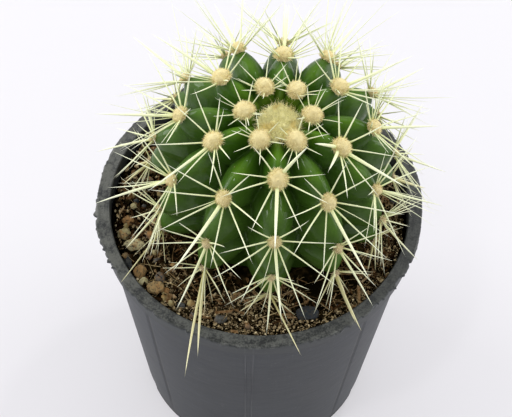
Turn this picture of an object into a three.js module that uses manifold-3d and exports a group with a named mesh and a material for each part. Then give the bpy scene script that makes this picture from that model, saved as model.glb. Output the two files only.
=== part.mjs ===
// A round barrel cactus growing in a nursery pot, in millimetres with +Z up.
// The origin is the centre of the pot's flat underside, and -Y is the front.
// The plant leans a little towards the front and sits about a quarter sunk between soil and rim.
import * as THREE from "three";
import { ParametricGeometry } from "three/addons/geometries/ParametricGeometry.js";
import { mergeVertices } from "three/addons/utils/BufferGeometryUtils.js";
import Module from "manifold-3d";

const { degToRad, lerp, smoothstep } = THREE.MathUtils;

// Space left between two pieces that rest on each other
const GAP = 0.3;
const ROUND_SIDES = 48;

// Pot: a thin tapered wall, a collar under the rim, a flat flange on top and notches at the foot
const POT_HEIGHT = 105;
const BASE_RADIUS = 42.5;
const BASE_CORNER = 1.6;
const WALL_TAPER = 0.0975;
const WALL = 1.5;
const FLOOR = 2;
const COLLAR_HEIGHT = 8.5;
const COLLAR_RADIUS = 53.5;
const RIM_RADIUS = 55;
const RIM_INNER_RADIUS = 50.4;
const RIM_EDGE = 1.4;
const RIM_CHAMFER = 0.4;
const NOTCHES = 8;
const NOTCH_TURN = 22.5;
const NOTCH = new THREE.Vector3(7, 9, 7);
const WALL_GROOVES = 4;
const WALL_GROOVE_TURN = 45;
const WALL_GROOVE = { width: 1.1, depth: 0.5, foot: 9, cutter: 4 };

// Soil: nearly flush with the rim at the front and lower at the back
const SOIL_LEVEL = 98.7;
const SOIL_FRONT_RISE = 3.2;
const SOIL_FRONT = [22, 50];
const SOIL_RINGS = 7;
const SOIL_INNER_SHARE = 0.35;
const SOCKET = { foot: 171, top: 99, step: 9, gap: 0.45 };
const SOIL_WAVES = [
  { x: 0.31, y: 0.12, phase: 1.3, height: 0.4 },
  { x: -0.15, y: 0.33, phase: 0.4, height: 0.3 },
  { x: 0.4, y: 0.6, phase: 2.1, height: 0.2 },
];

// Cactus body: a sphere with a sunken crown, fuller below, whose axis leans to the front. Angles are
// measured from the crown.
const BODY_CENTRE = new THREE.Vector3(3.7, -0.4, 128);
const BODY_LEAN = new THREE.Vector3(0.033, -0.119, 1).normalize();
const BODY_RADIUS = 39.3;
const CROWN_SINK = 10.9;
const CROWN_SPREAD = degToRad(19.6);
const CROWN_FLOOR = 27;
const CROWN_EDGE = degToRad(13.2);
const CROWN_ROWS = [14, 15.4].map(degToRad);
const LOWER_FULLNESS = 3.6;
const LOWER_FROM = degToRad(85);
const LOWER_TO = degToRad(130);
const ROOT_RADIUS = 33;
const ROOT_FROM = degToRad(138);
const BURIED_ROWS = [114.5, 121, 128, 136, 145, 156, 180].map(degToRad);

// Ribs, and the knobs along them that carry the spines
const RIBS = 12;
const RIB_START = 3;
const RIB_PITCH = 360 / RIBS;
const RIB_CROWDING = 4;
const RINGS = 8;
const RING_FIRST = 17.3;
const RING_STEP = 16.8;
const RING_CLOSING = 0.5;
const RIB_GROOVE_DEPTH = 8.8;
const RIB_GROOVE_FULL = degToRad(42);
const KEEL_ROUNDNESS = 0.5;
const KEEL_DEPTH = 11;
const KEEL_SLOPE = 1.35;
const NOTCH_DEPTH = 7.6;
const BURIED_DEPTH = 4.2;
const KNOB_HEIGHT = 8;
const KNOB_MIN_WIDTH = 5.4;
const KNOB_UP_REACH = 0.86;
const KNOB_SWELL = 0.16;
const KNOB_CHIN = 0.27;
const RIBS_END_ABOVE_SOIL = 2;
const RIB_FADE = 7;
const COLUMNS_PER_RIB = 6;
const ROWS_PER_KNOB = 4;

// Felt pads and spines, by ring from the crown down. A spine's lean is from its pad's axis, and its
// turn is from straight down the rib.
const PAD_RADII = [3.4, 3.3, 2.75, 2.15, 1.7, 1.4, 1.2, 1.1];
const PAD_DOME = 0.85;
const PAD_SHOULDER = degToRad(42);
const PAD_SIDES = 8;
const PAD_CORE = [0.2, 0.3];
const RADIAL_LENGTH = [9, 18, 23, 23, 21, 18, 15, 12];
const RADIAL_TURNS = [28, -30, 68, -72, 106, -104, 150, -146];
const LOW_RADIAL_TURNS = [22, -25, 72, -68, 118, -124];
const LOW_RING = 6;
const RADIAL_LEAN = 62;
const RADIAL_THICKNESS = 0.42;
const RADIAL_ROOT = 0.6;
const UPPER_RADIAL_SHARE = 0.7;
const LENGTH_JITTER = 0.1;
const CENTRAL_LENGTH = [0, 26, 29, 28, 23, 20, 23, 0];
const CENTRAL_LEAN = 50;
const CENTRAL_THICKNESS = 0.72;
const STEEPEST_LEAN = 84;
const ROOT_MARGIN = 1.05;
const BURIED_LENGTH = 0.6;
const ROOT_DEPTH = 0.25;

// Room kept round a spine, and how the tries to place one loosen
const SPINE_CLEARANCE = 0.35;
const SOIL_CLEARANCE = 1.2;
const RIM_CLEARANCE = 0.8;
const RIM_MARGIN = 1.5;
const WOOL_CLEARANCE = 1;
const TRIES = 80;
const LOOSENING = 0.3;
const CENTRAL_LOOSE = 8;
const KNOWN_LOOSE = 1;
const RADIAL_LOOSE = 7;
const LATE_TRY_LENGTH = 0.8;
const SEED = 20240611;

// Strong central spines that stand out on the front and sides: lean, turn and length
const KNOWN_CENTRALS = {
  spines_ring2_rib10: [[50, -3, 25]],
  spines_ring2_rib08: [[58, 21, 26]],
  spines_ring2_rib12: [[50, -14, 24]],
  spines_ring2_rib04: [[61, -1, 20]],
  spines_ring3_rib09: [[38, 4, 29]],
  spines_ring3_rib11: [[46, -6, 27]],
  spines_ring3_rib07: [[56, -2, 28]],
  spines_ring3_rib01: [[56, 11, 22]],
  spines_ring3_rib03: [[55, 1, 24]],
  spines_ring3_rib05: [[57, -3, 23]],
  spines_ring4_rib10: [[48, 9, 24]],
  spines_ring4_rib08: [[51, -18, 26]],
  spines_ring4_rib12: [[45, 30, 22]],
  spines_ring4_rib02: [[39, 8, 22]],
  spines_ring4_rib06: [[40, -14, 26]],
  spines_ring5_rib09: [[47, 5, 23]],
  spines_ring5_rib11: [[40, 8, 21]],
  spines_ring6_rib08: [[44, 15, 18]],
  spines_ring7_rib09: [[25, 106, 36], [30, 82, 28]],
  spines_ring7_rib11: [[25, -20, 20], [22, -10, 17]],
  spines_ring8_rib08: [[47, 124, 24]],
  spines_ring8_rib10: [[43, 134, 24]],
};

// Tuft of wool that fills the sunken crown, below the youngest felt pads: radius and height from its foot
const WOOL_OUTLINE = [[5.7, 0], [6.3, 1.3], [6.8, 2.7], [6.2, 4.1], [3.9, 4.8]];
const WOOL_HEIGHT = 5.1;
const WOOL_SIDES = 12;
const WOOL_LUMP = 0.06;
const WOOL_RADIUS = Math.max(...WOOL_OUTLINE.map(([radius]) => radius));

// Loose stones on the soil: place, half sizes and turn
const STONE_SHRINK = 0.14;
const STONE_ROUGHNESS = 0.2;
const STONE_RISE = 0.45;
const STONE_SEED = 1000;
const SEAT_GAP = 0.4;
const STONES = [
  { at: [-45.3, -10.7], half: [2.6, 2.2, 1.9], turn: 20 },
  { at: [-41.2, -15.5], half: [3.8, 2.3, 2.0], turn: 12 },
  { at: [-38.7, -25.2], half: [2.4, 2.8, 2.1], turn: 25 },
  { at: [-44.2, -4.9], half: [2.7, 1.9, 1.7], turn: 35 },
  { at: [-33.2, -32.1], half: [3.1, 2.5, 2.0], turn: 10 },
  { at: [16.4, -40.4], half: [4.4, 2.9, 1.8], turn: -8 },
  { at: [-11.6, -43.4], half: [2.4, 1.6, 1.3], turn: 5 },
];

const wasm = await Module();
wasm.setup();

const potMaterial = new THREE.MeshStandardMaterial({ color: 0x55575b, roughness: 0.6 });
const soilMaterial = new THREE.MeshStandardMaterial({ color: 0x5b4030, roughness: 1 });
const skinMaterial = new THREE.MeshStandardMaterial({ color: 0x2f6b22, roughness: 0.35 });
const woolMaterial = new THREE.MeshStandardMaterial({ color: 0xcbbd7c, roughness: 1 });
const spineMaterial = new THREE.MeshStandardMaterial({ color: 0xdcd9a3, roughness: 0.6 });
const stoneMaterial = new THREE.MeshStandardMaterial({ color: 0x8d7a5a, roughness: 0.9 });

function randomFrom(seed) {
  let state = seed;
  return () => {
    state = (state + 0x6d2b79f5) | 0;
    let mixed = Math.imul(state ^ (state >>> 15), 1 | state);
    mixed = (mixed + Math.imul(mixed ^ (mixed >>> 7), 61 | mixed)) ^ mixed;
    return ((mixed ^ (mixed >>> 14)) >>> 0) / 4294967296;
  };
}

const random = randomFrom(SEED);
const jitter = (amount) => (2 * random() - 1) * amount;

// A closed geometry with shared corners merged, no collapsed triangles and its faces pointing out
function closedSkin(geometry) {
  const bare = geometry.index ? geometry.clone() : geometry;
  bare.deleteAttribute("normal");
  bare.deleteAttribute("uv");
  const merged = mergeVertices(bare, 1e-3);
  const corners = merged.index.array;
  const position = merged.attributes.position;
  const [a, b, c] = [new THREE.Vector3(), new THREE.Vector3(), new THREE.Vector3()];
  const kept = [];
  let volume = 0;
  for (let i = 0; i < corners.length; i += 3) {
    const [ia, ib, ic] = corners.slice(i, i + 3);
    if (ia === ib || ib === ic || ic === ia) continue;
    kept.push(ia, ib, ic);
    a.fromBufferAttribute(position, ia);
    b.fromBufferAttribute(position, ib);
    c.fromBufferAttribute(position, ic);
    volume += a.dot(b.cross(c));
  }
  if (volume < 0) kept.reverse();
  merged.setIndex(kept);
  return merged;
}

function toSolid(geometry) {
  const skin = closedSkin(geometry);
  const vertProperties = new Float32Array(skin.attributes.position.array);
  const triVerts = new Uint32Array(skin.index.array);
  return new wasm.Manifold(new wasm.Mesh({ numProp: 3, vertProperties, triVerts }));
}

function toGeometry(solid) {
  const mesh = solid.getMesh();
  const geometry = new THREE.BufferGeometry();
  geometry.setAttribute("position", new THREE.BufferAttribute(mesh.vertProperties, 3));
  geometry.setIndex([...mesh.triVerts]);
  return geometry;
}

const UP = new THREE.Vector3(0, 0, 1);
const group = new THREE.Group();
const cactus = new THREE.Group();
cactus.position.copy(BODY_CENTRE);
cactus.quaternion.setFromUnitVectors(UP, BODY_LEAN);
cactus.updateMatrixWorld(true);
group.add(cactus);

function addPiece(name, geometry, material, parent) {
  const mesh = new THREE.Mesh(geometry, material);
  mesh.name = name;
  parent.add(mesh);
  return mesh;
}

// Pot
const wallRadius = (z) => BASE_RADIUS + WALL_TAPER * z;
const innerRadius = (z) => Math.min(RIM_INNER_RADIUS, wallRadius(z) - WALL);

function turned(profile, sides = ROUND_SIDES) {
  const outline = profile.map(([r, z]) => new THREE.Vector2(r, z));
  return new THREE.LatheGeometry(outline, sides).rotateX(Math.PI / 2);
}

function potProfile() {
  const collarFoot = POT_HEIGHT - COLLAR_HEIGHT;
  const flangeFoot = POT_HEIGHT - RIM_EDGE;
  return [
    [0, 0],
    [BASE_RADIUS - BASE_CORNER, 0],
    [wallRadius(BASE_CORNER), BASE_CORNER],
    [wallRadius(collarFoot), collarFoot],
    [COLLAR_RADIUS, collarFoot + RIM_CHAMFER],
    [COLLAR_RADIUS + RIM_CHAMFER, flangeFoot],
    [RIM_RADIUS, flangeFoot + RIM_CHAMFER],
    [RIM_RADIUS, POT_HEIGHT - RIM_CHAMFER],
    [RIM_RADIUS - RIM_CHAMFER, POT_HEIGHT],
    [RIM_INNER_RADIUS, POT_HEIGHT],
    [RIM_INNER_RADIUS, collarFoot + 1],
    [innerRadius(FLOOR), FLOOR],
    [0, FLOOR],
  ];
}

// A box laid against the pot's slanting wall at one azimuth, with its outer face well outside
function wallCutter(size, turn, radius, z, slant) {
  const box = new THREE.BoxGeometry(size.x, size.y, size.z);
  box.rotateY(slant);
  box.translate(radius, 0, z);
  return toSolid(box.rotateZ(degToRad(turn)));
}

function makePot() {
  let pot = toSolid(turned(potProfile()));
  for (let i = 0; i < NOTCHES; i += 1) {
    const turn = NOTCH_TURN + (360 / NOTCHES) * i;
    pot = pot.subtract(wallCutter(NOTCH, turn, BASE_RADIUS, NOTCH.z / 2 - 1, 0));
  }
  const slant = Math.atan(WALL_TAPER);
  const { width, depth, foot, cutter } = WALL_GROOVE;
  const top = POT_HEIGHT - COLLAR_HEIGHT - 1;
  const middle = (foot + top) / 2;
  const size = new THREE.Vector3(cutter, width, (top - foot) / Math.cos(slant));
  const outside = wallRadius(middle) - depth / Math.cos(slant) + cutter / 2;
  for (let i = 0; i < WALL_GROOVES; i += 1) {
    const turn = WALL_GROOVE_TURN + (360 / WALL_GROOVES) * i;
    pot = pot.subtract(wallCutter(size, turn, outside, middle, slant));
  }
  return toGeometry(pot);
}

// Cactus body: everything about it is one radius over azimuth and the polar angle from the crown
function ringAngle(ring) {
  return degToRad(RING_FIRST + RING_STEP * ring - RING_CLOSING * ring * ring);
}

function ribAngle(rib) {
  const even = RIB_START + RIB_PITCH * rib;
  return degToRad(even - RIB_CROWDING * (1 - Math.cos(degToRad(RIB_PITCH * (rib + 1)))));
}

function summitRadius(polar) {
  const sink = CROWN_SINK * Math.exp(-((polar / CROWN_SPREAD) ** 2));
  const fullness = LOWER_FULLNESS * smoothstep(polar, LOWER_FROM, LOWER_TO);
  const root = smoothstep(polar, ROOT_FROM, Math.PI);
  return lerp(BODY_RADIUS - sink + fullness, ROOT_RADIUS + BURIED_DEPTH, root);
}

// The plain root ball under the soil
const buriedRadius = (polar) => summitRadius(polar) - BURIED_DEPTH;

function direction(azimuth, polar) {
  const flat = Math.sin(polar);
  return new THREE.Vector3(flat * Math.cos(azimuth), flat * Math.sin(azimuth), Math.cos(polar));
}

const areoles = [];
for (let ring = 0; ring < RINGS; ring += 1) {
  for (let rib = ring % 2; rib < RIBS; rib += 2) {
    areoles.push({ ring, rib, azimuth: ribAngle(rib), polar: ringAngle(ring) });
  }
}

// How far a keeled rib falls away: 0 on its rounded crest and 1 at its foot, with nearly flat sides
function keel(share) {
  const fallTo = (place) => Math.hypot(place, KEEL_ROUNDNESS) - KEEL_ROUNDNESS;
  return fallTo(share) / fallTo(1);
}

// Radius of the highest knob over a place: keeled, widest halfway up its long crown side, and steep on
// its chin
function knobRadius(azimuth, polar) {
  let highest = 0;
  for (const areole of areoles) {
    const along = polar - areole.polar;
    const span = areole.polar - ringAngle(areole.ring - 2);
    const up = Math.min(KNOB_UP_REACH * span, areole.polar - CROWN_EDGE);
    const t = along < 0 ? along / up : along / (KNOB_CHIN * span);
    if (Math.abs(t) >= 1) continue;
    const turn = Math.atan2(Math.sin(azimuth - areole.azimuth), Math.cos(azimuth - areole.azimuth));
    const across = Math.abs(turn) * BODY_RADIUS * Math.sin((polar + areole.polar) / 2);
    const halfRib = BODY_RADIUS * Math.sin(areole.polar) * degToRad(RIB_PITCH / 2);
    const swell = 1 + KNOB_SWELL * Math.sin(Math.PI * Math.max(0, -t));
    const half = Math.max(KNOB_MIN_WIDTH, halfRib) * swell;
    const side = Math.min(KEEL_DEPTH, KEEL_SLOPE * half) * keel(across / half);
    const end = KNOB_HEIGHT * (t < 0 ? t * t : 1 - Math.sqrt(1 - t * t));
    highest = Math.max(highest, summitRadius(areole.polar) - side - end);
  }
  return highest;
}

// 0 on a rib's crest and 1 in the groove between two ribs
function grooveShare(azimuth) {
  const full = 2 * Math.PI;
  for (let rib = 0; rib < RIBS; rib += 1) {
    const start = ribAngle(rib);
    const width = (ribAngle(rib + 1) - start + full) % full;
    const into = (((azimuth - start) % full) + full) % full;
    if (into < width) return 1 - Math.abs((2 * into) / width - 1);
  }
  return 0;
}

function soilTop(x, y) {
  let top = SOIL_LEVEL + SOIL_FRONT_RISE * smoothstep(-y, ...SOIL_FRONT);
  for (const wave of SOIL_WAVES) top += wave.height * Math.sin(wave.x * x + wave.y * y + wave.phase);
  return top;
}

const worldOf = (point) => point.clone().applyMatrix4(cactus.matrixWorld);

function bodyRadius(azimuth, polar) {
  if (polar <= CROWN_EDGE) return CROWN_FLOOR / Math.cos(polar);
  const buried = buriedRadius(polar);
  const notched = summitRadius(polar) - NOTCH_DEPTH;
  const depth = RIB_GROOVE_DEPTH * smoothstep(polar, CROWN_EDGE, RIB_GROOVE_FULL);
  const rib = notched - depth * keel(grooveShare(azimuth));
  const ribbed = Math.max(rib, knobRadius(azimuth, polar));
  const height = worldOf(direction(azimuth, polar).multiplyScalar(buried)).z - SOIL_LEVEL;
  const shown = smoothstep(height, RIBS_END_ABOVE_SOIL, RIBS_END_ABOVE_SOIL + RIB_FADE);
  return lerp(buried, ribbed, shown);
}

function polarRows() {
  const rows = [0, CROWN_EDGE, ...CROWN_ROWS];
  for (let ring = 0; ring < RINGS - 1; ring += 1) {
    for (let row = 0; row < ROWS_PER_KNOB; row += 1) {
      rows.push(lerp(ringAngle(ring), ringAngle(ring + 1), row / ROWS_PER_KNOB));
    }
  }
  rows.push(ringAngle(RINGS - 1));
  return rows.concat(BURIED_ROWS);
}

function makeBody() {
  const rows = polarRows();
  const columns = COLUMNS_PER_RIB * RIBS;
  const place = (u, v, target) => {
    const polar = rows[Math.round(v * (rows.length - 1))];
    const along = (Math.round(u * columns) % columns) / COLUMNS_PER_RIB;
    const rib = Math.floor(along);
    const azimuth = lerp(ribAngle(rib), ribAngle(rib + 1), along - rib);
    target.copy(direction(azimuth, polar).multiplyScalar(bodyRadius(azimuth, polar)));
  };
  return closedSkin(new ParametricGeometry(place, columns, rows.length - 1));
}

// Soil: the pot's filling with a lumpy top, a plain socket for the plant and a seat for each stone
function makeSoil(stoneSeats) {
  const bottom = FLOOR + GAP;
  const place = (u, v, target) => {
    const step = Math.round(v * (SOIL_RINGS + 2));
    const turn = u * 2 * Math.PI;
    const buried = step > SOIL_RINGS;
    const edge = innerRadius(buried ? bottom : SOIL_LEVEL) - GAP;
    const axial = step === 0 || step === SOIL_RINGS + 2;
    const r = axial ? 0 : edge * lerp(SOIL_INNER_SHARE, 1, Math.min(step / SOIL_RINGS, 1));
    const [x, y] = [r * Math.cos(turn), r * Math.sin(turn)];
    target.set(x, y, buried ? bottom : soilTop(x, y));
  };
  let soil = toSolid(new ParametricGeometry(place, ROUND_SIDES, SOIL_RINGS + 2));
  const profile = [[0, -(ROOT_RADIUS + GAP)]];
  for (let polar = SOCKET.foot; polar >= SOCKET.top; polar -= SOCKET.step) {
    const reach = buriedRadius(degToRad(polar)) + SOCKET.gap;
    profile.push([reach * Math.sin(degToRad(polar)), reach * Math.cos(degToRad(polar))]);
  }
  profile.push([0, profile.at(-1)[1]]);
  soil = soil.subtract(toSolid(turned(profile).applyMatrix4(cactus.matrixWorld)));
  for (const seat of stoneSeats) soil = soil.subtract(toSolid(seat));
  return toGeometry(soil);
}

function stoneGeometry({ at, half, turn }, grow) {
  const shape = randomFrom(STONE_SEED + turn);
  const stone = closedSkin(new THREE.IcosahedronGeometry(1, 1));
  const position = stone.attributes.position;
  const corner = new THREE.Vector3();
  for (let i = 0; i < position.count; i += 1) {
    corner.fromBufferAttribute(position, i).multiplyScalar(1 - STONE_SHRINK + STONE_ROUGHNESS * shape());
    position.setXYZ(i, corner.x, corner.y, corner.z);
  }
  stone.scale(half[0] + grow, half[1] + grow, half[2] + grow);
  stone.rotateZ(degToRad(turn));
  return stone.translate(at[0], at[1], soilTop(at[0], at[1]) + STONE_RISE * half[2]);
}

const radiusUnder = (point) => bodyRadius(Math.atan2(point.y, point.x), Math.acos(point.z / point.length()));

// Frame of an areole on the plant: z out of the skin and x down the rib, away from the crown. Its pad
// stands clear of the skin all round.
function areoleFrame({ ring, azimuth, polar }) {
  const out = direction(azimuth, polar);
  const side = new THREE.Vector3(-Math.sin(azimuth), Math.cos(azimuth), 0);
  const down = side.clone().cross(out);
  const centre = out.clone().multiplyScalar(bodyRadius(azimuth, polar));
  let lift = 0;
  for (let corner = 0; corner < PAD_SIDES; corner += 1) {
    const turn = (corner / PAD_SIDES) * 2 * Math.PI;
    const edge = centre.clone().addScaledVector(down, PAD_RADII[ring] * Math.cos(turn));
    edge.addScaledVector(side, PAD_RADII[ring] * Math.sin(turn));
    lift = Math.max(lift, radiusUnder(edge) - edge.length());
  }
  const at = centre.addScaledVector(out, lift + GAP);
  return new THREE.Matrix4().makeBasis(down, side, out).setPosition(at);
}

// Shortest distance between two straight spines, each a root and a tip
function spineDistance(first, second) {
  const d1 = first.tip.clone().sub(first.root);
  const d2 = second.tip.clone().sub(second.root);
  const between = first.root.clone().sub(second.root);
  const [a, e, b] = [d1.dot(d1), d2.dot(d2), d1.dot(d2)];
  const [c, f] = [d1.dot(between), d2.dot(between)];
  const clamp = (value) => Math.min(Math.max(value, 0), 1);
  const denominator = a * e - b * b;
  let s = denominator > 1e-9 ? clamp((b * f - c * e) / denominator) : 0;
  const t = clamp((b * s + f) / e);
  s = clamp((b * t - c) / a);
  return first.root.clone().addScaledVector(d1, s).distanceTo(second.root.clone().addScaledVector(d2, t));
}

// True where a spine stands clear of the skin, the soil, the rim, the wool, and the other clusters
function spineIsClear(spine, cluster, placed, pads) {
  for (const other of placed) {
    if (other.cluster === cluster) continue;
    if (spineDistance(spine, other) < spine.thick + other.thick + SPINE_CLEARANCE) return false;
  }
  for (const pad of pads) {
    if (pad.cluster === cluster) continue;
    if (spineDistance(spine, pad) < pad.reach + spine.thick + SPINE_CLEARANCE) return false;
  }
  const length = spine.root.distanceTo(spine.tip);
  for (let along = spine.free; along <= length; along += 1) {
    const point = spine.root.clone().lerp(spine.tip, along / length);
    if (point.length() < radiusUnder(point) + spine.thick + GAP) return false;
    const overWool = Math.hypot(point.x, point.y) < WOOL_RADIUS + WOOL_CLEARANCE;
    if (overWool && point.z < CROWN_FLOOR + WOOL_HEIGHT + WOOL_CLEARANCE) return false;
    const world = worldOf(point);
    const fromAxis = Math.hypot(world.x, world.y);
    if (fromAxis < RIM_INNER_RADIUS && world.z < soilTop(world.x, world.y) + SOIL_CLEARANCE) return false;
    if (fromAxis > RIM_INNER_RADIUS - RIM_MARGIN && world.z < POT_HEIGHT + RIM_CLEARANCE) return false;
  }
  return true;
}

// A spine in its areole's frame and in the plant's, rooted inside the felt pad
function spineInCluster(frame, cluster, { lean, turn, length, thick, rootShare }, padRadius) {
  const [tilt, spin] = [degToRad(lean), degToRad(turn)];
  const spoke = new THREE.Vector3(Math.cos(spin), Math.sin(spin), 0);
  const way = spoke.clone().multiplyScalar(Math.sin(tilt));
  way.z = Math.cos(tilt);
  const localRoot = spoke.multiplyScalar(rootShare * padRadius);
  localRoot.z = Math.max(ROOT_DEPTH * padRadius, ROOT_MARGIN * thick);
  const root = localRoot.clone().applyMatrix4(frame);
  const tip = localRoot.clone().addScaledVector(way, length).applyMatrix4(frame);
  return { cluster, thick, way, length, localRoot, root, tip, free: padRadius + BURIED_LENGTH };
}

// What one areole should carry: its strong central spines first, then the ring of radials
function wishesOf(name, ring) {
  const usual = CENTRAL_LENGTH[ring] ? [[CENTRAL_LEAN, 0, CENTRAL_LENGTH[ring]]] : [];
  const known = KNOWN_CENTRALS[name] ?? usual;
  const loose = name in KNOWN_CENTRALS ? KNOWN_LOOSE : CENTRAL_LOOSE;
  const thick = CENTRAL_THICKNESS;
  const centrals = known.map(([lean, turn, length]) => ({ lean, turn, length, thick, loose, rootShare: 0 }));
  const turns = ring < LOW_RING ? RADIAL_TURNS : LOW_RADIAL_TURNS;
  const radials = turns.map((turn) => {
    const share = lerp(UPPER_RADIAL_SHARE, 1, (1 + Math.cos(degToRad(turn))) / 2);
    const length = RADIAL_LENGTH[ring] * share * (1 + jitter(LENGTH_JITTER));
    const [lean, thick, loose] = [RADIAL_LEAN, RADIAL_THICKNESS, RADIAL_LOOSE];
    return { lean, turn, length, thick, loose, rootShare: RADIAL_ROOT };
  });
  return centrals.concat(radials);
}

// Each wished spine in the first of a series of ever looser tries that stands clear
function spinesOf(wishes, cluster, frame, padRadius, placed, pads) {
  const spines = [];
  for (const wish of wishes) {
    for (let attempt = 0; attempt < TRIES; attempt += 1) {
      const loose = wish.loose + LOOSENING * attempt;
      const turn = wish.turn + jitter(loose);
      const lean = Math.min(wish.lean + jitter(loose), STEEPEST_LEAN);
      const length = wish.length * (attempt < TRIES / 2 ? 1 : LATE_TRY_LENGTH);
      const spine = spineInCluster(frame, cluster, { ...wish, lean, turn, length }, padRadius);
      if (!spineIsClear(spine, cluster, placed, pads)) continue;
      spines.push(spine);
      placed.push(spine);
      break;
    }
  }
  return spines;
}

// One felt pad with its spines fused in, in the areole's own frame
function makeCluster(spines, padRadius) {
  const shoulder = [padRadius * Math.cos(PAD_SHOULDER), PAD_DOME * padRadius * Math.sin(PAD_SHOULDER)];
  const profile = [[0, 0], [padRadius, 0], shoulder, [0, PAD_DOME * padRadius]];
  let solid = toSolid(turned(profile, PAD_SIDES));
  for (const { way, length, thick, localRoot } of spines) {
    const cone = new THREE.ConeGeometry(thick, length, 3).translate(0, length / 2, 0);
    cone.applyQuaternion(new THREE.Quaternion().setFromUnitVectors(new THREE.Vector3(0, 1, 0), way));
    solid = solid.add(toSolid(cone.translate(localRoot.x, localRoot.y, localRoot.z)));
  }
  return toGeometry(solid);
}

function makeWool() {
  const lumps = randomFrom(SEED + 1);
  const rows = WOOL_OUTLINE.length + 1;
  const sizes = Array.from({ length: WOOL_SIDES * rows }, () => 1 + WOOL_LUMP * (2 * lumps() - 1));
  const place = (u, v, target) => {
    const row = Math.round(v * rows);
    const column = Math.round(u * WOOL_SIDES) % WOOL_SIDES;
    if (row === 0) return target.set(0, 0, 0);
    if (row === rows) return target.set(0, 0, WOOL_HEIGHT);
    const [radius, height] = WOOL_OUTLINE[row - 1];
    const size = row > 2 ? sizes[column * rows + row] : 1;
    return target.set(radius * size, 0, height).applyAxisAngle(UP, (column / WOOL_SIDES) * 2 * Math.PI);
  };
  return closedSkin(new ParametricGeometry(place, WOOL_SIDES, rows));
}

addPiece("pot", makePot(), potMaterial, group);
addPiece("soil", makeSoil(STONES.map((stone) => stoneGeometry(stone, SEAT_GAP))), soilMaterial, group);
STONES.forEach((stone, i) => addPiece(`stone_${i + 1}`, stoneGeometry(stone, 0), stoneMaterial, group));
addPiece("cactus_body", makeBody(), skinMaterial, cactus);
addPiece("crown_wool", makeWool(), woolMaterial, cactus).position.z = CROWN_FLOOR + GAP;

const frames = areoles.map(areoleFrame);
const padRadii = areoles.map(({ ring }) => PAD_RADII[ring]);
const pads = frames.map((frame, cluster) => {
  const height = PAD_DOME * padRadii[cluster];
  return {
    cluster,
    root: new THREE.Vector3(0, 0, PAD_CORE[0] * height).applyMatrix4(frame),
    tip: new THREE.Vector3(0, 0, PAD_CORE[1] * height).applyMatrix4(frame),
    reach: padRadii[cluster],
  };
});
const names = areoles.map(({ ring, rib }) => `spines_ring${ring + 1}_rib${String(rib + 1).padStart(2, "0")}`);
const placed = [];
names.forEach((name, cluster) => {
  const wishes = wishesOf(name, areoles[cluster].ring);
  const spines = spinesOf(wishes, cluster, frames[cluster], padRadii[cluster], placed, pads);
  const mesh = addPiece(name, makeCluster(spines, padRadii[cluster]), spineMaterial, cactus);
  mesh.applyMatrix4(frames[cluster]);
});

export default group;
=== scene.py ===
import math
import random

import bpy
import numpy as np
from mathutils import Matrix, Vector, noise


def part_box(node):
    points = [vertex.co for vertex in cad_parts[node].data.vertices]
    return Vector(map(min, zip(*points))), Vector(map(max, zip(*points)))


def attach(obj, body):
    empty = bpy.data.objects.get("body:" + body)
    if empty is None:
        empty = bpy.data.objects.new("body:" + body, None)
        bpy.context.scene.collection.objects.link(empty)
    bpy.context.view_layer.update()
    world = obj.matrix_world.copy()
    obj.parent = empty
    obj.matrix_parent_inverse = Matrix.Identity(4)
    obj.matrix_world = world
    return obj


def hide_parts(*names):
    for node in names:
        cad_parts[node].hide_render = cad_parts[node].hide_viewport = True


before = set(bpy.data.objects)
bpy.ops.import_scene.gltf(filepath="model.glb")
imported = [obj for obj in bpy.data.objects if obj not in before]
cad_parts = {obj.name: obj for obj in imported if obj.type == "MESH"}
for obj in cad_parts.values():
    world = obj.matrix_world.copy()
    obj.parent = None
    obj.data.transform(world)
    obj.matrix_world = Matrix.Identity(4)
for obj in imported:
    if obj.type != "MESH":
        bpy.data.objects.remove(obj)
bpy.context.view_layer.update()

# Camera: it looks down on the plant from the front, as the photograph does. The photograph is
# 512 pixels wide, and its focal length was fitted in those pixels.
MM = 0.001
PHOTO_WIDTH = 512
FOCAL_PIXELS = 1471
SENSOR_WIDTH = 36
CAMERA_ELEVATION = math.radians(57.22)
CAMERA_ROLL = 0.031
CAMERA_DISTANCE = 500 * MM
CAMERA_TARGET = Vector((-1.13 * MM, 0, 101.22 * MM))
CLIP_START = 20 * MM

looking = Vector((0, math.cos(CAMERA_ELEVATION), -math.sin(CAMERA_ELEVATION)))
level = Vector((1, 0, 0))
upward = level.cross(looking)
right = math.cos(CAMERA_ROLL) * level + math.sin(CAMERA_ROLL) * upward
above = math.cos(CAMERA_ROLL) * upward - math.sin(CAMERA_ROLL) * level
camera_data = bpy.data.cameras.new("camera")
camera_data.sensor_width = SENSOR_WIDTH
camera_data.lens = SENSOR_WIDTH * FOCAL_PIXELS / PHOTO_WIDTH
camera_data.clip_start = CLIP_START
camera = bpy.data.objects.new("camera", camera_data)
bpy.context.collection.objects.link(camera)
camera.matrix_world = Matrix.Translation(CAMERA_TARGET - CAMERA_DISTANCE * looking) @ Matrix(
    (right, above, -looking)
).transposed().to_4x4()
bpy.context.scene.camera = camera
bpy.context.scene.view_settings.view_transform = "Standard"

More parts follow.
